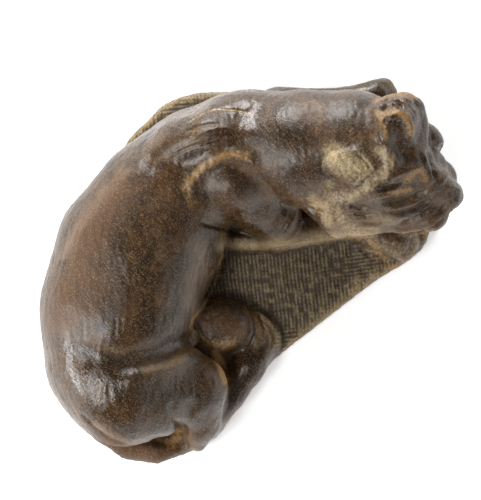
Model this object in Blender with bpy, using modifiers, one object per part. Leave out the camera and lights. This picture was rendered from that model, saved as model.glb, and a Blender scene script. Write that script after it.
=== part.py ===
"""A marble lion that crouches, curled, on the rough ground it is carved with.

The lion is one block of stone. It is blocked out in lumps, the lumps are
blended into one skin, the skin is carved with strokes and hollows, and the
underside is cut flat.
"""

import math

import bmesh
import bpy
import numpy as np
from mathutils import Matrix, Vector

# Driving dimensions, in metres.
LION_LENGTH = 0.291        # rump to muzzle, along the straight edge of the ground
GROUND_THICKNESS = 0.0125  # rough ground under the lion
GROUND_EDGE_ROUND = 0.004  # worn top edge of the ground

# The lion is squared up on a grid, as a block is before it is carved.
# Places and sizes on the lion are in grid steps: X along the neck, Y to the
# lion's left, and Z up from the top of the ground.
GRID_STEPS = 461
STEP = LION_LENGTH / GRID_STEPS

# The straight edge of the ground runs this far round from the neck.
EDGE_TURN = math.radians(-43.0)

# The skin is meshed at these sizes, in grid steps, and kept to this count.
ROUGH_VOXEL = 4.2
FINE_VOXEL = 2.9
TRIANGLES = 9200

# How the head is carried: turned to the lion's right, nose down, leaning left.
SKULL = np.array((124.0, 110.0, 104.0))
HEAD_YAW = math.radians(-31.0)
HEAD_PITCH = math.radians(-12.0)
HEAD_ROLL = math.radians(13.0)


def clear_scene():
    """Start from a scene with no objects."""
    for item in list(bpy.data.objects):
        bpy.data.objects.remove(item, do_unlink=True)


def head_axes():
    """The head's forward, left and up directions, as columns."""
    level = Vector((math.cos(HEAD_YAW), math.sin(HEAD_YAW), 0.0))
    forward = level * math.cos(HEAD_PITCH) + Vector((0.0, 0.0, math.sin(HEAD_PITCH)))
    left = Vector((-math.sin(HEAD_YAW), math.cos(HEAD_YAW), 0.0))
    up = forward.cross(left)
    leaned_up = up * math.cos(HEAD_ROLL) + left * math.sin(HEAD_ROLL)
    leaned_left = left * math.cos(HEAD_ROLL) - up * math.sin(HEAD_ROLL)
    return np.array((forward, leaned_left, leaned_up)).T


HEAD_AXES = head_axes()


def on_head(forward, left, up):
    """A place on the head, given from the middle of the skull."""
    return SKULL + HEAD_AXES @ np.array((forward, left, up), dtype=float)


def finished(solid):
    """A mesh from a bmesh that is done with."""
    mesh = bpy.data.meshes.new("lump")
    solid.to_mesh(mesh)
    solid.free()
    return mesh


def round_solid(place, shape):
    """A ball, stretched and turned, at a place."""
    solid = bmesh.new()
    bmesh.ops.create_uvsphere(solid, u_segments=22, v_segments=14, radius=1.0,
                              matrix=Matrix.Translation(place) @ shape)
    return finished(solid)


# A lump further off than this leaves the skin alone, in grid steps.
FAR = 26.0


class Lump:
    """One lump of the block-out: a distance field, a solid, its blend and its bounds."""

    def __init__(self, distance, block, blend, middle, bound):
        self.distance = distance
        self.block = block
        self.blend = blend
        self.middle = middle
        self.bound = bound


def ball(centre, radii, axes=None, blend=14.0):
    """An egg-shaped lump, with its own axes where they are not the grid's."""
    centre = np.array(centre, dtype=float)
    radii = np.array(radii, dtype=float)
    axes = np.eye(3) if axes is None else axes

    def distance(points):
        local = (points - centre) @ axes
        near = np.linalg.norm(local / radii, axis=1)
        slope = np.linalg.norm(local / radii ** 2, axis=1)
        return near * (near - 1.0) / np.maximum(slope, 1e-9)

    def block():
        turn = Matrix(axes.tolist()).to_4x4()
        return [round_solid(centre, turn @ Matrix.Diagonal((*radii, 1.0)))]

    return Lump(distance, block, blend, centre, radii.max())


def limb(start, end, start_radius, end_radius, blend=12.0):
    """A tapered lump from one place to another, round at both ends."""
    start = np.array(start, dtype=float)
    end = np.array(end, dtype=float)
    along = end - start
    length = float(np.linalg.norm(along))

    def distance(points):
        share = np.clip((points - start) @ along / length ** 2, 0.0, 1.0)
        nearest = start + share[:, None] * along
        radius = start_radius + share * (end_radius - start_radius)
        return np.linalg.norm(points - nearest, axis=1) - radius

    def block():
        aim = Vector(along).to_track_quat("Z", "Y").to_matrix().to_4x4()
        cone = bmesh.new()
        bmesh.ops.create_cone(cone, cap_ends=True, segments=20, radius1=start_radius,
                              radius2=end_radius, depth=length,
                              matrix=Matrix.Translation((start + end) / 2.0) @ aim)
        ends = [round_solid(place, Matrix.Diagonal((radius, radius, radius, 1.0)))
                for place, radius in ((start, start_radius), (end, end_radius))]
        return ends + [finished(cone)]

    bound = length / 2.0 + max(start_radius, end_radius)
    return Lump(distance, block, blend, (start + end) / 2.0, bound)


def chain(places, radii, blend=12.0):
    """Limbs end to end through several places."""
    return [limb(places[i], places[i + 1], radii[i], radii[i + 1], blend)
            for i in range(len(places) - 1)]


# The ground's outline, hollowed along the straight edge in front of the lion.
GROUND_OUTLINE = (
    (-126, 127), (-104, 150), (-86, 167), (-50, 178), (4, 176), (70, 168), (140, 170),
    (168, 130), (180, 70), (176, 30), (158, 10), (126, -10), (99, -30), (48, -70),
    (23, -90), (5, -110), (-9, -130), (-22, -150), (-38, -170), (-70, -186), (-97, -192),
    (-128, -189), (-136, -180), (-148, -171), (-161, -146), (-180, -108), (-193, -60),
    (-186, -10), (-165, 44), (-143, 89),
)
SLAB_DEPTH = 34.0


def rounded_loop(corners, per_side=3):
    """A smooth closed line through the corners."""
    corners = np.array(corners, dtype=float)
    line = []
    for i in range(len(corners)):
        before, here, there, after = (corners[(i + k) % len(corners)] for k in (-1, 0, 1, 2))
        for t in np.arange(per_side) / per_side:
            line.append(0.5 * (2 * here + (there - before) * t
                               + (2 * before - 5 * here + 4 * there - after) * t ** 2
                               + (3 * here - before - 3 * there + after) * t ** 3))
    return np.array(line)


def outline_distance(flat, loop):
    """Distance of flat places from a closed line, less than zero inside it."""
    best = np.full(len(flat), np.inf)
    inside = np.zeros(len(flat), dtype=bool)
    for i in range(len(loop)):
        start, end = loop[i], loop[(i + 1) % len(loop)]
        side = end - start
        share = np.clip((flat - start) @ side / max(side @ side, 1e-9), 0.0, 1.0)
        best = np.minimum(best, np.linalg.norm(flat - start - share[:, None] * side, axis=1))
        crosses = (start[1] > flat[:, 1]) != (end[1] > flat[:, 1])
        rise = side[1] if side[1] != 0.0 else 1e-9
        inside ^= crosses & (flat[:, 0] < start[0] + (flat[:, 1] - start[1]) * side[0] / rise)
    return np.where(inside, -best, best)


def ground():
    """The rough ground, higher under the lion's far side than at the front."""
    loop = rounded_loop(GROUND_OUTLINE)
    edge = GROUND_EDGE_ROUND / STEP

    def top(flat):
        back = np.clip((flat[:, 0] * -0.55 + flat[:, 1] * 0.83) / 150.0, -1.0, 1.0)
        wave = np.sin(flat[:, 0] / 17.0) * np.cos(flat[:, 1] / 21.0)
        return 2.0 + 5.0 * back + 1.2 * wave

    def distance(points):
        lid = points[:, 2] - top(points[:, :2])
        side = np.full(len(points), -FAR)
        low = lid < edge + 4.0
        side[low] = outline_distance(points[low, :2], loop)
        floor = -SLAB_DEPTH - points[:, 2]
        return np.maximum(-blended(-side, -lid, edge), floor)

    def block():
        outline = bpy.data.curves.new("ground outline", "CURVE")
        outline.dimensions = "2D"
        outline.fill_mode = "BOTH"
        outline.extrude = SLAB_DEPTH / 2.0
        line = outline.splines.new("POLY")
        line.points.add(len(loop) - 1)
        for point, place in zip(line.points, loop):
            point.co = (*place, 0.0, 1.0)
        line.use_cyclic_u = True
        slab = bpy.data.objects.new("ground outline", outline)
        bpy.context.collection.objects.link(slab)
        shown = slab.evaluated_get(bpy.context.evaluated_depsgraph_get())
        mesh = bpy.data.meshes.new_from_object(shown)
        mesh.transform(Matrix.Translation((0.0, 0.0, -SLAB_DEPTH / 2.0)))
        bpy.data.objects.remove(slab, do_unlink=True)
        solid = bmesh.new()
        solid.from_mesh(mesh)
        bmesh.ops.remove_doubles(solid, verts=solid.verts[:], dist=0.01)
        return [finished(solid)]

    return [Lump(distance, block, 8.0, np.zeros(3), GRID_STEPS)]


def trunk():
    """Rump, flank and chest, bent round the hollow of the curl."""
    middle = [(-134, -86, 46), (-131, -36, 46), (-117, 18, 46), (-88, 64, 46),
              (-50, 100, 42), (-14, 112, 40)]
    lumps = chain(middle, [70, 73, 72, 64, 57, 56], blend=18.0)
    lumps.append(limb((-70, 18, 34), (-86, -26, 36), 39, 29, blend=16.0))
    lumps += chain([(-70, 126, 84), (-40, 128, 96), (0, 124, 98)], [18, 20, 22], blend=22.0)
    return lumps


def hindquarters():
    """The right thigh on top, folded, with its paw forward; the tail below."""
    lumps = [limb((-126, -122, 60), (-58, -112, 42), 50, 31, blend=16.0),
             ball((-102, -134, 44), (50, 32, 40), blend=14.0),
             limb((-54, -120, 36), (-53, -150, 20), 30, 22, blend=10.0),
             limb((-53, -152, 18), (-54, -173, 6), 19, 9, blend=8.0)]
    lumps += chain([(-40, -152, 2), (-22, -124, 5), (-5, -97, 7), (8, -78, 4)], [12, 15, 17, 15],
                    blend=7.0)
    lumps.append(ball((-37, -54, 15), (36, 28, 25), blend=3.0))
    lumps.append(ball((-40, -84, 2), (22, 18, 14), blend=9.0))
    for place, radii in (((-14, -57, 9), (27, 22, 17)), ((-2, -61, 5), (27, 22, 14)),
                         ((8, -66, 1), (23, 20, 12))):
        lumps.append(ball(place, radii, turned(-35.0), blend=3.0))
    lumps += chain([(-156, -130, 36), (-146, -158, 10), (-126, -174, 2), (-96, -181, 0),
                    (-74, -175, 0)], [18, 14, 12, 11, 9], blend=7.0)
    return lumps


def foreleg(shoulder, elbow, wrist, paw, radii, toe_turn, blend):
    """A foreleg laid forward along the ground, with four toes on its paw."""
    top, bend, cuff = radii
    lumps = [limb(shoulder, elbow, top, bend, blend), limb(elbow, wrist, bend, cuff, 8.0)]
    lumps.append(limb(wrist, paw, cuff, cuff * 1.25, 7.0))
    forward = np.array((math.cos(toe_turn), math.sin(toe_turn), 0.0))
    across = np.array((-forward[1], forward[0], 0.0))
    for place in (-1.5, -0.5, 0.5, 1.5):
        reach = 15.0 - 2.2 * place ** 2
        tip = np.array(paw) + forward * reach + across * place * 8.5 + (0.0, 0.0, -3.0)
        lumps.append(ball(tip, (10, 6.5, 10), np.column_stack((forward, across, (0, 0, 1))), 4.0))
    return lumps


def forequarters():
    """Shoulder blades either side of the withers, and both forelegs."""
    lumps = [ball((-22, 86, 74), (38, 29, 42), turned(-40.0), blend=9.0),
             limb((-16, 80, 64), (22, 54, 44), 31, 27, blend=9.0),
             ball((-12, 150, 62), (46, 26, 44), turned(10.0), blend=12.0)]
    lumps += foreleg((0, 68, 56), (24, 35, 18), (98, 45, 10), (143, 29, 8), (31, 18, 13),
                     math.radians(-14.0), blend=8.0)
    lumps.append(limb((26, 35, 15), (-20, 34, 10), 17, 13, blend=5.0))
    lumps += foreleg((4, 148, 46), (26, 164, 14), (96, 168, 8), (122, 172, 8), (26, 17, 14),
                     math.radians(6.0), blend=10.0)
    return lumps


def turned(degrees):
    """Axes turned about the upright by an angle."""
    angle = math.radians(degrees)
    return np.array(((math.cos(angle), -math.sin(angle), 0.0),
                     (math.sin(angle), math.cos(angle), 0.0), (0.0, 0.0, 1.0)))


def neck():
    """The thick neck under its smooth mane, and the mane's locks over the foreleg."""
    lumps = chain([(0, 117, 60), (46, 119, 80), (96, 122, 90)], [48, 53, 53], blend=14.0)
    lumps.append(ball((100, 62, 80), (34, 27, 30), turned(-12.0), blend=12.0))
    lumps.append(limb((48, 70, 74), (74, 56, 82), 8, 15, blend=6.0))
    return lumps


def skull():
    """Skull, cheeks, muzzle and jaw. The snarl draws the right side of the face wider."""
    def lump(place, radii, blend):
        return ball(on_head(*place), radii, HEAD_AXES, blend)

    def bar(start, end, start_radius, end_radius, blend):
        return limb(on_head(*start), on_head(*end), start_radius, end_radius, blend)

    return [
        lump((0, 0, 4), (42, 52, 36), 12.0), lump((32, -3, -6), (40, 38, 28), 12.0),
        bar((16, 0, 22), (74, 1, 3), 19, 15, 8.0), lump((83, 2, 0), (9, 15, 10), 3.0),
        bar((22, -8, 29), (10, -36, 23), 8, 9, 6.0), bar((26, 8, 28), (14, 40, 20), 8, 9, 6.0),
        lump((28, -41, -3), (23, 13, 15), 8.0), lump((30, 41, -4), (21, 13, 16), 8.0),
        lump((66, -20, -12), (25, 20, 19), 4.0), lump((59, 17, -12), (23, 17, 18), 4.0),
        bar((58, -32, -28), (16, -48, -30), 15, 21, 9.0),
        bar((48, 27, -28), (-2, 42, -30), 14, 18, 9.0),
        lump((64, -4, -38), (23, 26, 14), 6.0), lump((42, -4, -40), (34, 36, 18), 9.0),
        lump((22, -26, 10), (10, 9, 9), 2.0), lump((27, 26, 9), (10, 9, 9), 2.0),
        ball((150, 148, 104), (16, 20, 24), blend=8.0),
    ]


def ears():
    """The left ear, upright, and the scar where the right one broke off."""
    tilt = np.array(Matrix.Rotation(math.radians(24.0), 3, "X"))
    return [ball((136, 141, 132), (21, 23, 20), turned(-20.0), 8.0),
            ball((96, 101, 138), (28, 18, 9), tilt, 2.0)]


def ruff():
    """The mane's raised front edge, from behind the left ear round the right cheek."""
    edge = [(154, 156, 114), (144, 162, 116), (129, 159, 124), (120, 149, 132), (121, 133, 140),
            (128, 114, 141), (133, 101, 138), (126, 88, 133), (110, 79, 123), (88, 67, 107),
            (76, 54, 88), (82, 44, 72)]
    return chain(edge, [9, 8, 7, 7, 7, 7, 7, 7, 8, 9, 11, 12], blend=7.0)


def blended(first, second, width):
    """The nearer of two distances, rounded over where they are alike."""
    near = np.maximum(width - np.abs(first - second), 0.0) / max(width, 1e-9)
    return np.minimum(first, second) - near * near * width / 4.0


class Stroke:
    """A groove, or with less than no depth a ridge, along a line.

    A stroke drawn from above has flat places, and cuts all that is higher than it says.
    """

    def __init__(self, places, width, depth, above=None):
        self.places = np.array(places, dtype=float)
        self.width = width
        self.depth = depth
        self.above = above

    def cut(self, points):
        lengths = self.places.shape[1]
        middle = (self.places.max(axis=0) + self.places.min(axis=0)) / 2.0
        bound = np.linalg.norm(self.places - middle, axis=1).max() + 2.5 * self.width
        close = np.linalg.norm(points[:, :lengths] - middle, axis=1) < bound
        if self.above is not None:
            close &= points[:, 2] > self.above
        near = np.flatnonzero(close)
        there = points[near, :lengths]
        best = np.full(len(near), np.inf)
        for start, end in zip(self.places[:-1], self.places[1:]):
            side = end - start
            share = np.clip((there - start) @ side / max(side @ side, 1e-9), 0.0, 1.0)
            gap = np.linalg.norm(there - start - share[:, None] * side, axis=1)
            best = np.minimum(best, gap)
        return near, self.depth * np.exp(-(best / self.width) ** 2)


def hollow(place, width, depth):
    """A round dip at one place."""
    return Stroke([place, np.array(place) + (0.0, 0.0, 0.01)], width, depth)


def body_strokes():
    """Grooves and ridges of muscle over the body, drawn from above."""
    def drawn(places, width, depth, above=20.0):
        return Stroke(places, width, depth, above)

    strokes = [
        drawn([(-40, 130), (-98, 116), (-118, 90), (-160, 30), (-184, -30),
               (-186, -62), (-176, -98), (-152, -136)], 14, -3.0),
        drawn([(-154, -80), (-140, -84), (-126, -87)], 11, 2.5),
        drawn([(-119, -88), (-108, -86), (-97, -82), (-78, -73), (-58, -63)], 11, 5.0),
        drawn([(-116, -103), (-104, -101), (-92, -97), (-74, -89), (-58, -81)], 8, -3.0),
        drawn([(-63, 80), (-50, 96), (-36, 106), (-20, 111), (-4, 107), (3, 95)], 6, -5.0),
        drawn([(-76, 88), (-60, 108), (-38, 119), (-14, 122), (6, 115)], 9, 1.6),
        drawn([(3, 96), (10, 84), (22, 72), (36, 62)], 6, 3.0),
        drawn([(-66, 78), (-60, 58), (-48, 50), (-24, 44), (4, 32)], 8, 3.5),
        drawn([(-61, -132), (-65, -142), (-69, -154), (-72, -163)], 7, 6.0, 4.0),
        drawn([(-92, -168), (-74, -172)], 6, 7.0, 4.0),
    ]
    return strokes


def face_strokes():
    """Eyes, snarling folds, nostrils, mouth and the ears' hollows."""
    def line(places, width, depth):
        return Stroke([on_head(*place) for place in places], width, depth)

    def dip(place, width, depth):
        return hollow(on_head(*place), width, depth)

    strokes = [
        line([(10, -36, 12), (20, -28, 17), (34, -13, 20)], 7, 8.0),
        line([(15, 38, 10), (27, 28, 15), (40, 15, 18)], 7, 8.0),
        line([(94, -6, -27), (88, -24, -28), (66, -40, -28), (40, -52, -20)], 4.5, 9.0),
        line([(94, 0, -27), (80, 20, -28), (60, 33, -28), (38, 44, -20)], 4.5, 9.0),
        line([(96, 1, -8), (94, -1, -24)], 3, 4.0),
        dip((92, -5, -3), 5, 7.0),
        dip((90, 13, -3), 5, 7.0),
    ]
    for fold in range(3):
        apex, low = 57 + 9 * fold, 12 - 7 * fold
        for side, out in ((-1, 34 + 5 * fold), (1, 30 + 3 * fold)):
            arm = [(apex, side * 3, low), (apex - 16, side * (out - 12), low - 6),
                   (apex - 34, side * out, low - 14)]
            strokes.append(line(arm, 4.0, 4.0))
            strokes.append(line([(x - 7, y, z + 2) for x, y, z in arm], 4.0, -4.0))
    strokes.append(Stroke([(126, 127), (128, 142), (135, 148), (144, 145), (148, 133), (148, 123)],
                          5, -5.0, 110.0))
    strokes.append(Stroke([(135, 137), (137, 124), (142, 112)], 8, 6.0, 110.0))
    strokes.append(Stroke([(125, 153), (132, 157), (141, 155)], 4, 5.0, 110.0))
    strokes.append(hollow((100, 99, 144), 3, 5.0))
    return strokes


def skin_distance(points, lumps, strokes):
    """Distance of places from the carved skin, less than zero inside it."""
    gap = np.full(len(points), FAR)
    for lump in lumps:
        away = np.linalg.norm(points - lump.middle, axis=1)
        near = np.flatnonzero(away < lump.bound + FAR)
        gap[near] = blended(gap[near], lump.distance(points[near]), lump.blend)
    for stroke in strokes:
        near, depth = stroke.cut(points)
        gap[near] += depth
    return gap


def settle(mesh, lumps, strokes, rounds=3, reach=5.0):
    """Move a mesh's points on to the carved skin."""
    points = np.empty(len(mesh.vertices) * 3)
    mesh.vertices.foreach_get("co", points)
    points = points.reshape(-1, 3)
    probe = 0.6
    for _ in range(rounds):
        gap = skin_distance(points, lumps, strokes)
        slope = np.empty_like(points)
        for axis in range(3):
            moved = points.copy()
            moved[:, axis] += probe
            slope[:, axis] = (skin_distance(moved, lumps, strokes) - gap) / probe
        steepness = np.maximum(np.einsum("ij,ij->i", slope, slope), 0.15)
        step = -gap / steepness
        points += np.clip(step, -reach, reach)[:, None] * slope
    mesh.vertices.foreach_set("co", points.ravel())
    mesh.update()


def with_modifier(item, kind, **settings):
    """Give an object one modifier, and take its result as the new mesh."""
    modifier = item.modifiers.new(kind, kind)
    for name, value in settings.items():
        setattr(modifier, name, value)
    shown = item.evaluated_get(bpy.context.evaluated_depsgraph_get())
    mesh = bpy.data.meshes.new_from_object(shown)
    item.modifiers.clear()
    item.data = mesh


def block_out(lumps):
    """All the lumps as solids in one object, still apart."""
    clay = bmesh.new()
    for lump in lumps:
        for mesh in lump.block():
            clay.from_mesh(mesh)
            bpy.data.meshes.remove(mesh)
    mesh = finished(clay)
    mesh.name = "lion"
    item = bpy.data.objects.new("lion", mesh)
    bpy.context.scene.collection.objects.link(item)
    return item


def cut_flat(mesh, height):
    """Cut the stone flat at a height and close the cut."""
    stone = bmesh.new()
    stone.from_mesh(mesh)
    every = stone.verts[:] + stone.edges[:] + stone.faces[:]
    bmesh.ops.bisect_plane(stone, geom=every, dist=1e-3, plane_co=(0.0, 0.0, height),
                           plane_no=(0.0, 0.0, -1.0), clear_outer=True)
    rim = [edge for edge in stone.edges if edge.is_boundary]
    bmesh.ops.triangle_fill(stone, use_beauty=True, use_dissolve=False, edges=rim)
    bmesh.ops.triangulate(stone, faces=stone.faces[:])
    bmesh.ops.recalc_face_normals(stone, faces=stone.faces[:])
    stone.to_mesh(mesh)
    stone.free()


def marble():
    """Dark, waxed stone."""
    material = bpy.data.materials.new("dark waxed marble")
    material.use_nodes = True
    shader = material.node_tree.nodes["Principled BSDF"]
    shader.inputs["Base Color"].default_value = (0.075, 0.047, 0.028, 1.0)
    shader.inputs["Roughness"].default_value = 0.4
    shader.inputs["Metallic"].default_value = 0.0
    return material


def carve_lion():
    """Block out, blend, carve, thin and cut the lion, and set it on the floor."""
    lumps = ground() + trunk() + hindquarters() + forequarters() + neck() + skull() + ears() + ruff()
    strokes = body_strokes() + face_strokes()
    lion = block_out(lumps)
    with_modifier(lion, "REMESH", mode="VOXEL", voxel_size=ROUGH_VOXEL)
    settle(lion.data, lumps, [])
    with_modifier(lion, "REMESH", mode="VOXEL", voxel_size=FINE_VOXEL)
    settle(lion.data, lumps, strokes)
    with_modifier(lion, "SMOOTH", factor=0.5, iterations=2)
    triangles = sum(len(face.vertices) - 2 for face in lion.data.polygons)
    with_modifier(lion, "DECIMATE", ratio=min(1.0, TRIANGLES / triangles))
    cut_flat(lion.data, -GROUND_THICKNESS / STEP)
    return lion


def set_down(lion):
    """Scale from grid steps to metres, turn the straight edge along X, and centre."""
    mesh = lion.data
    mesh.transform(Matrix.Rotation(EDGE_TURN, 4, "Z") @ Matrix.Scale(STEP, 4))
    corners = np.array([vertex.co for vertex in mesh.vertices])
    low, high = corners.min(axis=0), corners.max(axis=0)
    middle = (low + high) / 2.0
    mesh.transform(Matrix.Translation((-middle[0], -middle[1], -low[2])))
    for face in mesh.polygons:
        face.use_smooth = True


def main():
    clear_scene()
    lion = carve_lion()
    set_down(lion)
    lion.data.materials.clear()
    lion.data.materials.append(marble())
    group = bpy.data.collections.new("marble lion")
    bpy.context.scene.collection.children.link(group)
    bpy.context.scene.collection.objects.unlink(lion)
    group.objects.link(lion)


main()
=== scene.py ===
import math

import bpy
import numpy as np
from mathutils import Matrix, Vector, kdtree


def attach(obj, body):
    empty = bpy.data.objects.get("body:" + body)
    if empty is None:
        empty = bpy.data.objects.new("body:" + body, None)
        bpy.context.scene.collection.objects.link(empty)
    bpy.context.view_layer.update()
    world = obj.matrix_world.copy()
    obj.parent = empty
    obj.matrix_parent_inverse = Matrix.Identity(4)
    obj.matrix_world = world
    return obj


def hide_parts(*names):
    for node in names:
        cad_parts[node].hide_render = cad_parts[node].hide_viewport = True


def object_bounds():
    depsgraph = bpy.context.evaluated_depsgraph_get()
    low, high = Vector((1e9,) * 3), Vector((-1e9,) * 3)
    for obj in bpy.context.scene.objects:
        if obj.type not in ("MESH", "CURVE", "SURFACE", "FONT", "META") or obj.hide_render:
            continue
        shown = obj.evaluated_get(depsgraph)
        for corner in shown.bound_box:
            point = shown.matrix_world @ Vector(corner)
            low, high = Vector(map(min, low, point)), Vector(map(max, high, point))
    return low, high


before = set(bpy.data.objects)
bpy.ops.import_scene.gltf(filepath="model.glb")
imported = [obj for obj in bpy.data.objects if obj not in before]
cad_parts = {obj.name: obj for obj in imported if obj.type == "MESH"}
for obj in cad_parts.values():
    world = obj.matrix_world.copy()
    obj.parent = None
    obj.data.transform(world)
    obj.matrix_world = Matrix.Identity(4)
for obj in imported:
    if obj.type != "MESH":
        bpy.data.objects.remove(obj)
cad_box = [list(corner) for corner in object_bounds()]


# The block. The lion and its ground are one piece of marble, squared up on a
# grid before it is carved: places below are in grid steps, X along the neck,
# Y to the lion's left, Z up from the top of the ground.
STEP = 0.291 / 461
EDGE_TURN = math.radians(-43.0)
GRID_ORIGIN = (-0.000283, -0.025479, 0.0125)
UNDERSIDE = -0.0125 / STEP
UNCUT_EDGE = 3.0       # lowest steps of the block, left as they are
LOWEST = -20.0         # just under the block
STROKE_REACH = 2.6     # widths from its line that a stroke still reaches
SEAM = 0.00005         # metres; facet corners nearer than this are one corner
FINE_VOXEL = 0.0008    # metres
MOST_TRIANGLES = 190000

grid_to_world = (Matrix.Translation(GRID_ORIGIN) @ Matrix.Rotation(EDGE_TURN, 4, "Z")
                 @ Matrix.Scale(STEP, 4))


def applied(thing, kind, **settings):
    """Give an object one modifier and keep its result as the mesh."""
    modifier = thing.modifiers.new(kind, kind)
    for name, value in settings.items():
        setattr(modifier, name, value)
    shown = thing.evaluated_get(bpy.context.evaluated_depsgraph_get())
    mesh = bpy.data.meshes.new_from_object(shown)
    thing.modifiers.clear()
    thing.data = mesh


def read(mesh, what, width=3):
    """A mesh's point places or directions as an array."""
    values = np.empty(len(mesh.vertices) * width)
    mesh.vertices.foreach_get(what, values)
    return values.reshape(-1, width)


lion = bpy.data.objects.new("lion_carving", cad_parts["lion"].data.copy())
bpy.context.scene.collection.objects.link(lion)
applied(lion, "WELD", merge_threshold=SEAM)
applied(lion, "SUBSURF", levels=2, render_levels=2)
applied(lion, "REMESH", mode="VOXEL", voxel_size=FINE_VOXEL)
applied(lion, "SMOOTH", factor=0.5, iterations=10)
lion.data.transform(grid_to_world.inverted())


class Skin:
    """The stone's skin: where its points are, how they face, how deep each is to be cut."""

    def __init__(self, mesh):
        self.mesh = mesh
        self.look()

    def look(self):
        self.places = read(self.mesh, "co")
        self.facing = read(self.mesh, "normal")
        self.depth = np.zeros(len(self.places))
        self.carvable = np.clip((self.places[:, 2] - UNDERSIDE - UNCUT_EDGE) / 3.0, 0.0, 1.0)

    def near(self, line, width, above):
        """Points near a line, how near, and how far along it. A flat line is seen from above."""
        line = np.array(line, dtype=float)
        flat = line.shape[1]
        middle = (line.max(axis=0) + line.min(axis=0)) / 2.0
        bound = np.linalg.norm(line - middle, axis=1).max() + STROKE_REACH * width
        close = np.linalg.norm(self.places[:, :flat] - middle, axis=1) < bound
        if flat == 2:
            close &= (self.places[:, 2] > above) & (self.facing[:, 2] > -0.1)
        found = np.flatnonzero(close)
        there = self.places[found, :flat]
        best = np.full(len(found), np.inf)
        passed = np.zeros(len(found))
        run = 0.0
        for start, end in zip(line[:-1], line[1:]):
            side = end - start
            length = np.linalg.norm(side)
            share = np.clip((there - start) @ side / length ** 2, 0.0, 1.0)
            gap = np.linalg.norm(there - start - share[:, None] * side, axis=1)
            nearer = gap < best
            best[nearer] = gap[nearer]
            passed[nearer] = run + share[nearer] * length
            run += length
        return found, best, passed / run

    def stroke(self, line, width, depth, above=LOWEST, fade=0.2):
        """A groove, or with less than no depth a ridge, that fades out at its ends."""
        found, gap, passed = self.near(line, width, above)
        cut = depth * np.exp(-(gap / width) ** 2)
        if fade:
            cut *= np.clip(np.minimum(passed, 1.0 - passed) / fade, 0.0, 1.0) ** 0.6
        self.depth[found] += cut

    def dip(self, place, width, depth):
        """A round hollow, or with less than no depth a boss."""
        gap = np.linalg.norm(self.places - np.array(place, dtype=float), axis=1)
        self.depth += depth * np.exp(-(gap / width) ** 2)

    def cut(self):
        """Sink every point along the way it faces, then look afresh."""
        moved = self.places - self.facing * (self.depth * self.carvable)[:, None]
        self.mesh.vertices.foreach_set("co", moved.ravel())
        self.mesh.update()
        self.look()


skin = Skin(lion.data)


# The head. The lion snarls: hide is drawn up in chevron folds over the nose, the
# right eye is a deep slit under its brow, whiskers and lip lines sweep back over
# the cheek. Cut with small round chisels and rubbed smooth.
SKULL = np.array((124.0, 110.0, 104.0))
HEAD_YAW = math.radians(-31.0)
HEAD_PITCH = math.radians(-12.0)
HEAD_ROLL = math.radians(13.0)

level = Vector((math.cos(HEAD_YAW), math.sin(HEAD_YAW), 0.0))
forward = level * math.cos(HEAD_PITCH) + Vector((0.0, 0.0, math.sin(HEAD_PITCH)))
left = Vector((-math.sin(HEAD_YAW), math.cos(HEAD_YAW), 0.0))
up = forward.cross(left)
HEAD_AXES = np.array((forward, left * math.cos(HEAD_ROLL) - up * math.sin(HEAD_ROLL),
                      up * math.cos(HEAD_ROLL) + left * math.sin(HEAD_ROLL))).T


def on_head(*places):
    """Places on the head, given ahead, left and above from the middle of the skull."""
    return [SKULL + HEAD_AXES @ np.array(place, dtype=float) for place in places]


FACE = 60.0            # strokes on the head stop at this height
for line, width, depth in (
        ([(118, 76), (129, 78), (140, 81), (150, 86)], 2.2, 4.2),
        ([(125, 85), (136, 91), (148, 96), (158, 99), (165, 94)], 3.2, -2.4),
        ([(124, 72), (136, 72), (146, 75), (156, 81)], 2.2, -1.6),
        ([(120, 67), (136, 66), (150, 69), (164, 76), (170, 81)], 1.7, 2.2),
        ([(120, 62), (137, 60), (152, 64), (166, 72), (174, 78)], 2.2, -1.6),
        ([(124, 56), (141, 55), (157, 60), (171, 71)], 1.6, 2.2),
        ([(132, 52), (147, 52), (161, 57), (172, 67), (178, 73)], 2.0, -1.4),
        ([(138, 46), (153, 49), (165, 55), (175, 63)], 1.6, 2.2),
        ([(166, 116), (170, 106), (173, 96), (174, 86)], 2.4, 4.0),
        ([(160, 114), (164, 104), (168, 94), (171, 83)], 2.6, -2.2),
        ([(174, 120), (181, 111), (186, 101), (185, 91), (178, 82)], 2.8, -2.0),
        ([(179, 119), (188, 110), (190, 99)], 1.7, 2.2),
        ([(172, 123), (180, 121), (187, 120)], 2.0, 2.4),
        ([(184, 81), (193, 80), (202, 76)], 2.0, -1.4),
        ([(186, 76), (192, 72), (197, 66)], 1.8, 1.8),
        ([(147, 40), (156, 43), (168, 48), (178, 55), (186, 63), (190, 69)], 1.9, 2.6),
        ([(150, 34), (163, 37), (175, 42), (185, 51)], 1.6, 1.8),
        ([(142, 104), (151, 111), (159, 123), (161, 137)], 5.0, -1.2)):
    skin.stroke(line, width, depth, FACE)
skin.dip(on_head((90, -6, -2))[0], 3.6, 3.6)
skin.dip(on_head((86, 14, -2))[0], 3.6, 3.6)
for fold in range(3):
    apex, low, out = 57 + 9 * fold, 12 - 7 * fold, 30 + 3 * fold
    arm = [(apex, 3, low), (apex - 16, out - 12, low - 6), (apex - 34, out, low - 14)]
    skin.stroke(on_head(*arm), 2.6, 2.6)
skin.stroke(on_head((14, 38, 11), (27, 28, 16), (40, 15, 19)), 2.6, 4.0)
skin.stroke(on_head((94, -5, -27), (88, -24, -28), (66, -40, -28), (44, -50, -22)), 2.2, 3.4)
skin.stroke(on_head((94, 0, -27), (80, 20, -28), (60, 33, -28), (42, 42, -22)), 2.2, 3.4)
skin.stroke(on_head((96, 1, -9), (95, -1, -25)), 1.8, 3.0)


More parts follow.
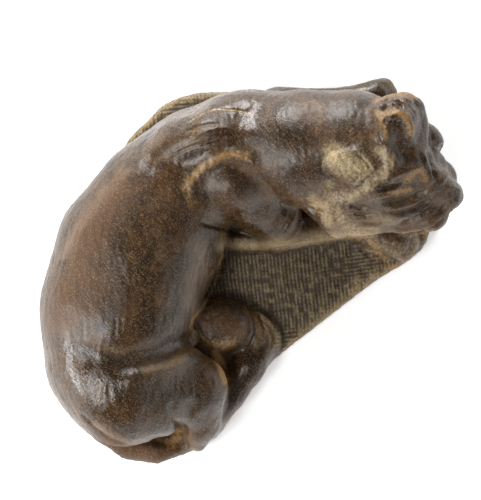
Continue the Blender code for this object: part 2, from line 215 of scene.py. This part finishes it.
# The mane and the ears. The mane's front edge is a raised rope of curls; the
# left ear is a cup with a rolled rim; the right one has broken off and left a
# flat scar, marked by the ring that a drill cut round its middle.
EDGE_OF_MANE = [(154, 156), (144, 162), (129, 159), (121, 150), (121, 134), (127, 116),
                (132, 102), (126, 89), (111, 80), (88, 68), (76, 55)]
skin.stroke(EDGE_OF_MANE, 4.0, -1.6, 80.0, 0.05)
for line, width, depth in (
        ([(126, 123), (126, 135), (129, 144), (136, 149), (143, 146), (148, 138), (149, 129),
          (147, 122)], 2.4, -2.4),
        ([(132, 141), (135, 130), (140, 118), (142, 111)], 7.0, -4.0),
        ([(123, 154), (131, 157), (140, 157)], 2.0, 2.0),
        ([(92, 116), (99, 113), (107, 107), (114, 97), (108, 91), (102, 85), (96, 79)], 1.5, -2.0),
        ([(91, 113), (98, 110), (105, 105), (111, 97), (105, 92), (98, 86)], 1.3, 1.6),
        ([(66, 93), (65, 101), (69, 110), (78, 115), (89, 117), (98, 114)], 1.6, 1.8),
        ([(68, 85), (73, 78), (83, 74)], 1.8, 1.6),
        ([(77, 56), (84, 60), (94, 62), (104, 60), (114, 60)], 1.7, 2.2),
        ([(79, 48), (86, 53), (96, 55), (108, 53), (121, 55)], 1.7, 2.2),
        ([(83, 41), (93, 45), (104, 46), (118, 45), (133, 48)], 1.7, 2.2),
        ([(91, 36), (102, 38), (114, 38), (129, 39)], 1.7, 2.0),
        ([(46, 65), (56, 60), (65, 52)], 1.5, 1.4),
        ([(50, 68), (60, 64), (70, 57)], 1.5, 1.4)):
    skin.stroke(line, width, depth, 50.0)
SCAR = 120.0           # the scar lies above this height
RING_MIDDLE = (100, 98)
RING_RADIUS = 5.5
skin.stroke([(RING_MIDDLE[0] + RING_RADIUS * math.cos(turn), RING_MIDDLE[1] + RING_RADIUS * math.sin(turn))
             for turn in np.linspace(0.0, 2.0 * math.pi, 17)], 1.2, 0.9, SCAR, 0)

# The body. Muscles lie smooth under the hide. It gathers in strands over the
# withers, wrinkles across the spine and folds along the haunch.
for line, width, depth in (
        ([(-88, 106), (-73, 113), (-60, 118), (-45, 122), (-29, 124)], 1.5, 1.5),
        ([(-82, 108), (-71, 116), (-58, 123), (-44, 128)], 1.4, -1.2),
        ([(-77, 114), (-63, 121), (-50, 128), (-35, 132)], 1.5, 1.4),
        ([(-65, 132), (-54, 137), (-42, 140), (-29, 140)], 1.6, 1.3),
        ([(-60, 125), (-46, 132), (-33, 136), (-20, 136)], 1.4, -1.2),
        ([(-52, 118), (-39, 124), (-25, 127)], 1.4, 1.3),
        ([(-45, 113), (-31, 118), (-16, 119)], 1.3, 1.0),
        ([(-61, 142), (-53, 148), (-45, 152), (-35, 155), (-17, 154), (-2, 151)], 1.1, 1.2),
        ([(9, 87), (15, 80), (23, 73), (32, 59)], 1.1, 1.2),
        ([(-51, 47), (-36, 43), (-20, 40), (-0, 33), (19, 28)], 2.2, 2.6),
        ([(23, 30), (32, 42), (38, 55), (38, 63)], 2.0, 2.4),
        ([(-26, 23), (-12, 19), (10, 22), (48, 28), (87, 33), (118, 37)], 1.5, -1.4),
        ([(-26, 19), (-12, 15), (10, 18), (48, 24), (87, 29), (118, 33)], 1.5, 1.4),
        ([(-147, -82), (-135, -85), (-122, -87), (-99, -83), (-78, -75), (-60, -67)], 9.0, 2.6),
        ([(-124, -97), (-110, -96), (-94, -93), (-74, -86), (-60, -78)], 7.0, -1.6),
        ([(-65, -163), (-69, -155), (-73, -146), (-76, -136), (-78, -126)], 4.0, 3.6),
        ([(-166, -136), (-152, -151), (-136, -163), (-120, -168)], 1.8, 1.6)):
    skin.stroke(line, width, depth)


# The hind paw. A round heel and three toes, laid over the edge of the ground.
for line, width, depth in (
        ([(-13, -29), (-3, -38), (3, -50), (4, -62), (-1, -74), (-9, -85)], 1.7, 2.4),
        ([(-3, -35), (7, -45), (13, -58), (11, -72), (4, -84)], 1.7, 2.2),
        ([(6, -43), (17, -55), (22, -68), (18, -80)], 1.6, 2.0),
        ([(-18, -27), (-9, -35), (-3, -48), (-2, -61), (-8, -73)], 1.5, -1.4),
        ([(-57, -47), (-54, -57), (-48, -67), (-39, -76)], 1.8, 2.0)):
    skin.stroke(line, width, depth)
skin.cut()


# The ground. Roughed down with a claw chisel and left so: its teeth, 2.4 mm
# apart, have scored it side by side, first one way and then across the corner.
TOOTH = 2.4 / 1000.0 / STEP
LEAN_ALONG = 0.10      # how far each way of scoring leans, in steps a step
LEAN_ACROSS = 0.12


def grain(places, size, seed):
    """Smooth random values from 0 to 1, with lumps of a size."""
    cells = 32
    values = np.random.default_rng(seed).random((cells, cells, cells))
    spread = places / size
    corner = np.floor(spread).astype(int)
    part = spread - corner
    part = part * part * (3.0 - 2.0 * part)
    total = np.zeros(len(places))
    for dx in (0, 1):
        for dy in (0, 1):
            for dz in (0, 1):
                weight = (np.abs(1 - dx - part[:, 0]) * np.abs(1 - dy - part[:, 1])
                          * np.abs(1 - dz - part[:, 2]))
                index = (corner + (dx, dy, dz)) % cells
                total += weight * values[index[:, 0], index[:, 1], index[:, 2]]
    return total


x, y, z = skin.places.T
on_ground = np.clip((15.0 - z) / 6.0, 0.0, 1.0) * np.clip((skin.facing[:, 2] - 0.3) / 0.4, 0.0, 1.0)
by_the_tail = np.clip((-64.0 - x) / 8.0, 0.0, 1.0) * np.clip((-90.0 - y) / 20.0, 0.0, 1.0)
on_ground *= 1.0 - by_the_tail
wander = 5.0 * grain(skin.places, 45.0, 1)
scored = 0.5 + 0.5 * np.cos(2.0 * math.pi * (x + LEAN_ALONG * y + wander) / TOOTH)
crossed = 0.5 + 0.5 * np.cos(2.0 * math.pi * (y - LEAN_ACROSS * x + wander) / TOOTH)
turned = np.clip((grain(skin.places, 38.0, 2) - 0.55) * 5.0, 0.0, 1.0)
tooth_marks = scored * (1.0 - 0.8 * turned) + crossed * (0.25 + 0.6 * turned)
skin.depth += on_ground * (tooth_marks * (0.2 + 1.1 * grain(skin.places, 8.0, 3))
                           + 1.6 * grain(skin.places, 5.0, 4) - 1.2)


# The hide. Short strokes of a flat rasp cross the neck and back, the mane's edge
# is picked into crinkled curls, and the torn ear and the heel are left rough.
def along_line(line, width, above=LOWEST):
    """How close each point lies to a line seen from above, from 0 to 1."""
    share = np.zeros(len(skin.places))
    found, gap, passed = skin.near(line, width, above)
    share[found] = np.exp(-(gap / width) ** 2)
    return share


hide = 1.0 - on_ground
across = skin.places * (1.0, 0.28, 0.6)
skin.depth += hide * 0.8 * (grain(across, 2.6, 5) - 0.5)
skin.depth += hide * 0.7 * (grain(skin.places, 11.0, 6) - 0.5)
crinkled = (along_line(EDGE_OF_MANE, 7.0, 80.0)
            + 0.5 * along_line([(123, 124), (122, 141), (130, 151), (142, 151),
                                (151, 141)], 5.0, 100.0)
            + 0.5 * along_line([(-60, 77), (-58, 89), (-48, 99), (-33, 107)], 7.0, 60.0))
skin.depth += crinkled * 4.4 * (grain(skin.places * (1.0, 0.7, 1.0), 4.2, 7) - 0.45)
rough = (along_line([(79, 107), (90, 99), (100, 98)], 18.0, SCAR)
         + 0.9 * along_line([(-40, -47), (-26, -51), (-18, -59)], 18.0)
         + 0.7 * along_line([(120, 24), (140, 18), (160, 24)], 16.0))
skin.depth += np.clip(rough, 0.0, 1.0) * 1.7 * (grain(skin.places, 3.2, 8) - 0.5)
skin.cut()


# The stone. Marble under centuries of brown wax and handling: red-brown and speckled down the back, rubbed
# to ochre on proud edges, dusty in creases, and raw where it broke or was left from the chisel. Over that,
# painted shade makes it nearly black in creases, gaps and hollows and where a sheen would show, and a
# painted sheen and painted highlights in pale grey-beige lie along its rims, over the belly and on the
# haunch ridge.
def linear(colour):
    """Linear values of an sRGB colour."""
    parts = [int(colour[i:i + 2], 16) / 255.0 for i in (0, 2, 4)]
    return [part / 12.92 if part <= 0.04045 else ((part + 0.055) / 1.055) ** 2.4
            for part in parts] + [1.0]


def smoothed(mesh, places, rounds):
    """Places, each moved to the middle of its neighbours again and again."""
    edges = np.empty(len(mesh.edges) * 2, dtype=np.int64)
    mesh.edges.foreach_get("vertices", edges)
    first, second = edges.reshape(-1, 2).T
    count = np.bincount(edges, minlength=len(places)).astype(float)
    for _ in range(rounds):
        total = np.empty_like(places)
        for axis in range(3):
            total[:, axis] = (np.bincount(first, places[second, axis], len(places))
                              + np.bincount(second, places[first, axis], len(places)))
        places = total / count[:, None]
    return places


fine_level = smoothed(lion.data, skin.places, 8)
broad_level = smoothed(lion.data, fine_level, 60)
fine = np.einsum("ij,ij->i", skin.places - fine_level, skin.facing)
broad = np.einsum("ij,ij->i", fine_level - broad_level, skin.facing)
FINE_RELIEF = 0.22     # relief that counts as fully proud or sunk, in steps
BROAD_RISE = 1.6
BROAD_FALL = 1.8
tone = {"proud": (np.clip(fine / FINE_RELIEF, 0.0, 1.0) * 0.6
                  + np.clip(broad / BROAD_RISE, 0.0, 1.0) * 0.7),
        "sunk": (np.clip(-fine / FINE_RELIEF, 0.0, 1.0) * 0.7
                 + np.clip(-broad / BROAD_FALL, 0.0, 1.0) * 0.6),
        "tooled": on_ground}


def tint(name, *strokes):
    """Where the stone has one look: lines seen from above, each with a width and a share."""
    tone[name] = np.max([most * along_line(line, width) for line, width, most in strokes], axis=0)


tint("worn",
     ([(117, 162), (124, 166), (136, 168), (147, 168), (156, 166)], 5.0, 0.75),
     ([(117, 150), (120, 145), (123, 135), (125, 126)], 5.0, 0.7),
     ([(120, 148), (128, 150), (136, 150), (144, 145), (149, 136), (150, 129)], 5.0, 0.8),
     ([(126, 120), (131, 110), (131, 101), (126, 90)], 4.0, 0.5),
     ([(129, 74), (139, 75), (150, 78)], 3.4, 0.9),
     ([(144, 85), (152, 92), (160, 96), (164, 87)], 5.5, 0.75),
     ([(-64, 79), (-60, 87), (-50, 97), (-36, 106), (-20, 112), (-5, 109)], 6.0, 0.75),
     ([(-63, 77), (-60, 64)], 8.0, 0.6),
     ([(46, 68), (58, 64), (67, 56)], 7.0, 0.5),
     ([(-26, 24), (-31, 8), (-35, -8), (-41, -22), (-48, -36), (-58, -47), (-60, -55),
       (-56, -67)], 2.6, 0.8),
     ([(-30, 34), (-16, 28), (-2, 24)], 9.0, 0.5),
     ([(-77, -88), (-66, -78), (-50, -74), (-39, -80)], 9.0, 0.55),
     ([(-56, -65), (-46, -73), (-30, -76), (-20, -71)], 9.0, 0.7),
     ([(-6, -36), (4, -48), (8, -62), (4, -76)], 6.0, 0.6),
     ([(10, -48), (18, -60), (20, -72)], 5.0, 0.6),
     ([(114, 34), (128, 14), (140, 2), (160, 8)], 6.0, 0.7),
     ([(-72, -161), (-76, -169), (-82, -175)], 8.0, 0.7),
     ([(-37, -82), (-30, -94), (-26, -108)], 5.0, 1.3),
     ([(51, 159), (58, 161), (65, 153), (65, 142), (60, 134)], 8.0, 0.5),
     ([(-65, 123), (-50, 132)], 6.0, 0.5),
     ([(147, 36), (157, 34), (173, 38)], 4.0, 0.7))
tint("warm",
     ([(-125, 78), (-142, 56), (-154, 32), (-162, 8), (-171, -18), (-179, -45)], 26.0, 1.1),
     ([(-117, 77), (-98, 63), (-79, 68)], 14.0, 0.6),
     ([(45, 153), (62, 146), (70, 125)], 20.0, 0.8),
     ([(-156, 20), (-139, 1), (-135, -28)], 20.0, 0.7),
     ([(-109, -111), (-89, -118), (-70, -111)], 16.0, 0.4),
     ([(-139, -166), (-121, -180), (-91, -183), (-67, -168)], 14.0, 1.3),
     ([(-48, -48), (-32, -51), (-18, -59)], 16.0, 1.2),
     ([(-2, -42), (10, -56), (14, -72)], 9.0, 0.9),
     ([(147, 39), (166, 45), (183, 60), (181, 72)], 12.0, 0.9),
     ([(150, 98), (158, 91), (152, 81)], 7.0, 0.8),
     ([(-30, -82), (-24, -96), (-22, -110)], 8.0, 1.3))
# Dust and painted sheen: a dusty grey-beige in the creases of the haunch, over the withers, in the mane
# and on the foreleg; the same colour is a painted sheen over the belly and flank and a painted highlight
# along the haunch ridge.
tint("dust_and_sheen",
     ([(-158, -66), (-146, -68), (-135, -73), (-123, -79)], 4.5, 0.6),
     ([(-150, -74), (-139, -76), (-129, -80)], 3.0, 0.5),
     ([(-90, 106), (-73, 116), (-58, 122), (-44, 128)], 8.0, 0.6),
     ([(-60, 131), (-44, 138), (-27, 140)], 7.0, 0.5),
     ([(-50, 117), (-27, 120), (-2, 115)], 7.0, 0.4),
     ([(88, 153), (95, 125), (114, 115), (121, 101), (102, 81)], 13.0, 0.5),
     ([(75, 63), (89, 47), (108, 41), (133, 49)], 17.0, 0.75),
     ([(122, 62), (146, 66), (168, 76)], 9.0, 0.5),
     ([(-90, 30), (-74, 8), (-65, -9)], 20.0, 0.35),
     ([(-30, 24), (8, 25), (48, 29), (87, 34), (119, 38)], 9.0, 1.1),
     ([(59, 69), (69, 61), (73, 48)], 9.0, 1.0),
     ([(-103, -95), (-84, -92), (-64, -84)], 6.0, 0.8),
     ([(23, 30), (32, 42), (38, 55), (43, 63)], 4.0, 0.6))
# Painted sheen: a pale grey-beige where the glossy stone would reflect the white room, along the far rims
# of the back and rump, the lower rump and the right lobe, and over the belly and flank; on the haunch
# ridge and along the foreleg it is a painted highlight.
tint("painted_sheen",
     ([(-121, 96), (-141, 79), (-156, 59), (-170, 38), (-182, 14)], 9.0, 0.9),
     ([(-109, 107), (-89, 130), (-68, 148), (-45, 159)], 9.0, 0.7),
     ([(-189, -28), (-191, -53), (-187, -78), (-178, -103), (-162, -125), (-147, -140)], 5.0, 0.5),
     ([(-55, 20), (-52, -2), (-61, -29)], 15.0, 1.0),
     ([(-89, 34), (-93, 1), (-83, -38)], 22.0, 0.5),
     ([(-99, -92), (-80, -87), (-62, -78), (-47, -78)], 7.0, 0.9),
     ([(47, 38), (87, 41), (116, 44)], 8.0, 0.7),
     ([(-34, -80), (-26, -100), (-25, -123), (-32, -147), (-43, -164)], 4.0, 0.8),
     ([(-151, -147), (-137, -158), (-120, -166), (-100, -167), (-81, -159)], 5.0, 1.1),
     ([(-80, 24), (-60, 30), (-39, 32)], 9.0, 0.3))
tint("raw",
     ([(77, 109), (92, 99), (101, 98)], 16.0, 1.1),
     ([(117, 113), (129, 107), (126, 96), (113, 83), (94, 69)], 8.0, 0.8),
     ([(72, 81), (73, 69), (87, 71)], 11.0, 0.7),
     ([(81, 57), (86, 45), (100, 37)], 9.0, 0.6),
     ([(120, 24), (140, 18), (160, 24)], 17.0, 0.6),
     ([(-28, 23), (10, 24), (48, 27), (87, 33), (119, 37)], 6.0, 0.85),
     ([(-4, -30), (8, -44), (15, -60), (10, -74)], 5.0, 0.6),
     ([(58, 69), (68, 61), (73, 47)], 8.0, 0.8),
     ([(-47, -67), (-34, -73), (-26, -69)], 8.0, 0.6))
tint("crack",
     ([(-61, 142), (-53, 148), (-45, 152), (-35, 155), (-17, 154), (-2, 151)], 1.1, 0.9),
     ([(-164, -144), (-152, -158), (-147, -165)], 2.0, 0.4),
     ([(102, 178), (112, 180)], 3.0, 0.7))
# Painted shade: near-black laid where shade falls, in the crease along the haunch, the eye slit, along the
# mouth, under the rump, on the ground beside the knee and in the pit between belly and paw, and over the
# rump, flank, shoulder and neck where the lamps would otherwise leave a sheen.
tint("painted_shade",
     ([(-146, -91), (-123, -105), (-93, -122), (-54, -122)], 22.0, 0.8),
     ([(-137, -150), (-110, -156), (-84, -150)], 8.0, 0.7),
     ([(-131, 45), (-127, 20), (-129, -14), (-135, -47)], 13.0, 0.9),
     ([(-36, 95), (-20, 89), (-12, 77)], 16.0, 0.7),
     ([(9, 125), (36, 128), (93, 144)], 20.0, 0.9),
     ([(-168, -76), (-150, -84), (-129, -88), (-98, -80), (-64, -66)], 8.0, 1.1),
     ([(120, 77), (135, 80), (150, 85)], 4.0, 1.1),
     ([(162, 57), (175, 62), (187, 64)], 12.0, 0.9),
     ([(10, -70), (2, -90), (-10, -114), (-20, -137)], 10.0, 0.9),
     ([(-46, -38), (-30, -38), (-16, -46)], 8.0, 0.5))
tint("matte",
     ([(9, 125), (15, 108), (20, 90)], 16.0, 0.7),
     ([(-45, 95), (-39, 81), (-27, 72)], 14.0, 0.7),
     ([(69, 136), (88, 139), (104, 143)], 12.0, 0.6))
tint("polished",
     ([(-177, -28), (-177, -52), (-173, -76), (-166, -93)], 14.0, 1.0),
     ([(-160, -101), (-146, -112), (-131, -124)], 16.0, 1.0),
     ([(9, 147), (26, 155), (41, 160)], 12.0, 1.0))

full_places = read(lion.data, "co")
triangles = sum(len(face.vertices) - 2 for face in lion.data.polygons)
applied(lion, "DECIMATE", ratio=min(1.0, MOST_TRIANGLES / triangles))
finder = kdtree.KDTree(len(full_places))
for index, place in enumerate(full_places):
    finder.insert(place, index)
finder.balance()
nearest = np.array([finder.find(vertex.co)[1] for vertex in lion.data.vertices])
for name, values in tone.items():
    lion.data.attributes.new(name, "FLOAT", "POINT").data.foreach_set(
        "value", values[nearest].astype(np.float32))

# To the eye it is deep brown with a soft sheen that breaks up over the grain, and dull ochre or dusty grey
# where the wax has gone. Pale grey-beige painted sheen and highlights and near-black painted shade are
# laid into its colour as well.
stone = bpy.data.materials.new("waxed dark marble")
stone.use_nodes = True
marble = stone.node_tree
shader = marble.nodes["Principled BSDF"]


def add_node(tree, kind, links=None, inputs=None, **settings):
    """Add a node with its settings and set inputs, and link what goes into it."""
    node = tree.nodes.new(kind)
    for name, value in settings.items():
        setattr(node, name, value)
    for socket, value in (inputs or {}).items():
        node.inputs[socket].default_value = value
    for socket, source in (links or {}).items():
        tree.links.new(source, node.inputs[socket])
    return node


# Patterns, by the size of their patches in millimetres. The grit is the marble's
# crystal, drawn coarser than it is so that it shows.
place = add_node(marble, "ShaderNodeTexCoord").outputs["Object"]
stretched = add_node(marble, "ShaderNodeMapping", {"Vector": place},
                     {"Rotation": (0.0, 0.0, -EDGE_TURN), "Scale": (1.0, 0.2, 0.6)}).outputs["Vector"]
clouds, specks, grit, rasp = [
    add_node(marble, "ShaderNodeTexNoise", {"Vector": where},
             {"Scale": 1000.0 / patch, "Detail": detail, "Roughness": breakup}).outputs["Fac"]
    for where, patch, detail, breakup in ((place, 14.286, 6.0, 0.65), (place, 1.613, 5.0, 0.7),
                                          (place, 0.909, 2.0, 0.7), (stretched, 1.111, 3.0, 0.6))]
look = {name: add_node(marble, "ShaderNodeAttribute", attribute_name=name).outputs["Fac"]
        for name in tone}
PUSH = 1.5             # how far a pattern moves the edge of a look
EDGE = 0.42 + PUSH / 2.0


def ragged(name, pattern, sharpness, most):
    """The share of a look, with its edge broken up by a pattern."""
    pushed = add_node(marble, "ShaderNodeMath", {0: pattern, 2: look[name]}, {1: PUSH},
                      operation="MULTIPLY_ADD").outputs[0]
    return add_node(marble, "ShaderNodeMapRange", {"Value": pushed},
                    {"From Min": EDGE, "From Max": EDGE + 1.0 / sharpness,
                     "To Max": most}).outputs["Result"]


def flecks(pattern, least, full, most, *names):
    """Flecks where a pattern rises from the least to the full, held to where some looks are."""
    share = add_node(marble, "ShaderNodeMapRange", {"Value": pattern},
                     {"From Min": least, "From Max": full, "To Max": most}).outputs["Result"]
    for name in names:
        share = add_node(marble, "ShaderNodeMath", {0: share, 1: look[name]},
                         operation="MULTIPLY").outputs[0]
    return share


body = add_node(marble, "ShaderNodeValToRGB", {"Fac": clouds})
for stop, position, colour in zip(body.color_ramp.elements, (0.36, 0.68), ("1e1209", "4c3118")):
    stop.position = position
    stop.color = linear(colour)
tooled = add_node(marble, "ShaderNodeMath", {0: look["tooled"]}, {1: 0.85},
                  operation="MULTIPLY").outputs[0]
surface = body.outputs["Color"]
for share, colour in (
        # Painted sheen and painted highlights in pale grey-beige.
        (ragged("painted_sheen", clouds, 0.9, 1.0), "806c58"),
        # Painted shade in near-black.
        (ragged("painted_shade", clouds, 1.4, 1.0), "160f0a"),
        (ragged("warm", specks, 1.0, 1.0), "55361a"),
        (flecks(rasp, 0.50, 0.70, 0.5), "6a5338"),
        (flecks(grit, 0.55, 0.675, 0.6), "94794f"),
        (flecks(specks, 0.54, 0.7067, 0.6), "120b06"),
        (ragged("sunk", specks, 1.0, 0.2), "6a573c"),
        # Dusty grey-beige, here and there a painted sheen and highlight.
        (ragged("dust_and_sheen", specks, 1.1, 0.85), "988262"),
        (tooled, "3c2e1c"),
        (flecks(grit, 0.34, 0.54, 1.2, "tooled", "proud"), "98835d"),
        (ragged("worn", specks, 1.6, 0.85), "b08850"),
        (ragged("raw", specks, 1.4, 0.9), "b8a27a"),
        (flecks(grit, 0.5, 0.625, 0.7, "raw"), "4a3a24"),
        (ragged("crack", specks, 2.0, 0.8), "b39c5e")):
    surface = add_node(marble, "ShaderNodeMix", {0: share, 6: surface}, {7: linear(colour)},
                       data_type="RGBA").outputs[2]
marble.links.new(surface, shader.inputs["Base Color"])

# Gloss, from the smoothest wax up to bare stone.
SMOOTHEST_WAX = 0.15
dull = look["raw"]
for name in ("tooled", "worn", "dust_and_sheen", "warm", "matte"):
    dull = add_node(marble, "ShaderNodeMath", {0: dull, 1: look[name]},
                    operation="MAXIMUM").outputs[0]
dull = add_node(marble, "ShaderNodeMath", {0: dull}, {1: 0.32}, operation="MULTIPLY").outputs[0]
for cause, share in ((grit, 0.2), (look["polished"], -0.12)):
    dull = add_node(marble, "ShaderNodeMath", {0: cause, 2: dull}, {1: share},
                    operation="MULTIPLY_ADD").outputs[0]
gloss = add_node(marble, "ShaderNodeMapRange", {"Value": dull},
                 {"To Min": SMOOTHEST_WAX, "To Max": SMOOTHEST_WAX + 1.0})
marble.links.new(gloss.outputs["Result"], shader.inputs["Roughness"])
shader.inputs["IOR"].default_value = 1.5
crystal = add_node(marble, "ShaderNodeBump", {"Height": grit}, {"Strength": 0.5, "Distance": 0.0003})
rasped = add_node(marble, "ShaderNodeBump", {"Height": rasp, "Normal": crystal.outputs["Normal"]},
                  {"Strength": 0.5, "Distance": 0.0005})
marble.links.new(rasped.outputs["Normal"], shader.inputs["Normal"])

lion.data.transform(grid_to_world)
inside = np.clip(read(lion.data, "co"), *cad_box)
lion.data.vertices.foreach_set("co", inside.ravel())
for face in lion.data.polygons:
    face.use_smooth = True
lion.data.materials.clear()
lion.data.materials.append(stone)
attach(lion, "root")
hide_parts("lion")


# The floor. A plain sheet of white acrylic that the lion lies on, lit a little
# from below. To the eye it is an even white with no gloss round the dark stone.
floor_mesh = bpy.data.meshes.new("floor")
floor_mesh.from_pydata([(-2, -2, 0), (2, -2, 0), (2, 2, 0), (-2, 2, 0)], [], [(0, 1, 2, 3)])
floor = bpy.data.objects.new("floor", floor_mesh)
bpy.context.scene.collection.objects.link(floor)
acrylic = bpy.data.materials.new("lit white acrylic")
acrylic.use_nodes = True
sheet = acrylic.node_tree.nodes["Principled BSDF"]
sheet.inputs["Base Color"].default_value = linear("fdfdfc")
sheet.inputs["Roughness"].default_value = 0.9
sheet.inputs["Emission Color"].default_value = (1.0, 1.0, 1.0, 1.0)
sheet.inputs["Emission Strength"].default_value = 0.45
floor.data.materials.append(acrylic)


# The light. White walls all round with a darker ceiling, and three soft boxes,
# one low beyond the lion's back and two over its rump.
room = bpy.data.worlds.new("white room")
room.use_nodes = True
walls = room.node_tree
background = walls.nodes["Background"]
background.inputs["Color"].default_value = (1.0, 1.0, 1.0, 1.0)
direction = add_node(walls, "ShaderNodeTexCoord")
height = add_node(walls, "ShaderNodeSeparateXYZ", {"Vector": direction.outputs["Generated"]})
fall = add_node(walls, "ShaderNodeMapRange", {"Value": height.outputs["Z"]},
                {"From Min": 0.0, "From Max": 0.5, "To Min": 1.7, "To Max": 0.17})
walls.links.new(fall.outputs["Result"], background.inputs["Strength"])
bpy.context.scene.world = room
bpy.context.scene.view_settings.view_transform = "Standard"


def soft_box(name, position, size, power):
    """A square lamp at a place of the grid, aimed at the lion."""
    light = bpy.data.lights.new(name, "AREA")
    light.size = size
    light.energy = power
    lamp = bpy.data.objects.new(name, light)
    lamp.location = grid_to_world @ Vector(position)
    lamp.rotation_euler = (-lamp.location).to_track_quat("-Z", "Y").to_euler()
    bpy.context.scene.collection.objects.link(lamp)


soft_box("box_beyond_the_back", (-300, 1500, 520), 0.28, 9.0)
soft_box("box_behind_the_rump", (-1480, -520, 740), 0.28, 8.0)
soft_box("box_over_the_rump", (-757, -556, 1411), 0.25, 5.0)


# The camera. It looks straight down from above the lion's middle, with the
# neck pointing right in the picture.
CAMERA_HEIGHT = 2500.0
PICTURE_MIDDLE = (-11.5, 20.0)
PICTURE_WIDTH = 481.0
SENSOR = 36.0
camera = bpy.data.objects.new("camera", bpy.data.cameras.new("camera"))
camera.data.sensor_fit = "HORIZONTAL"
camera.data.sensor_width = SENSOR
camera.data.lens = SENSOR * CAMERA_HEIGHT / PICTURE_WIDTH
camera.matrix_world = (Matrix.Translation(grid_to_world @ Vector((*PICTURE_MIDDLE, CAMERA_HEIGHT)))
                       @ Matrix.Rotation(EDGE_TURN, 4, "Z"))
bpy.context.scene.collection.objects.link(camera)
bpy.context.scene.camera = camera
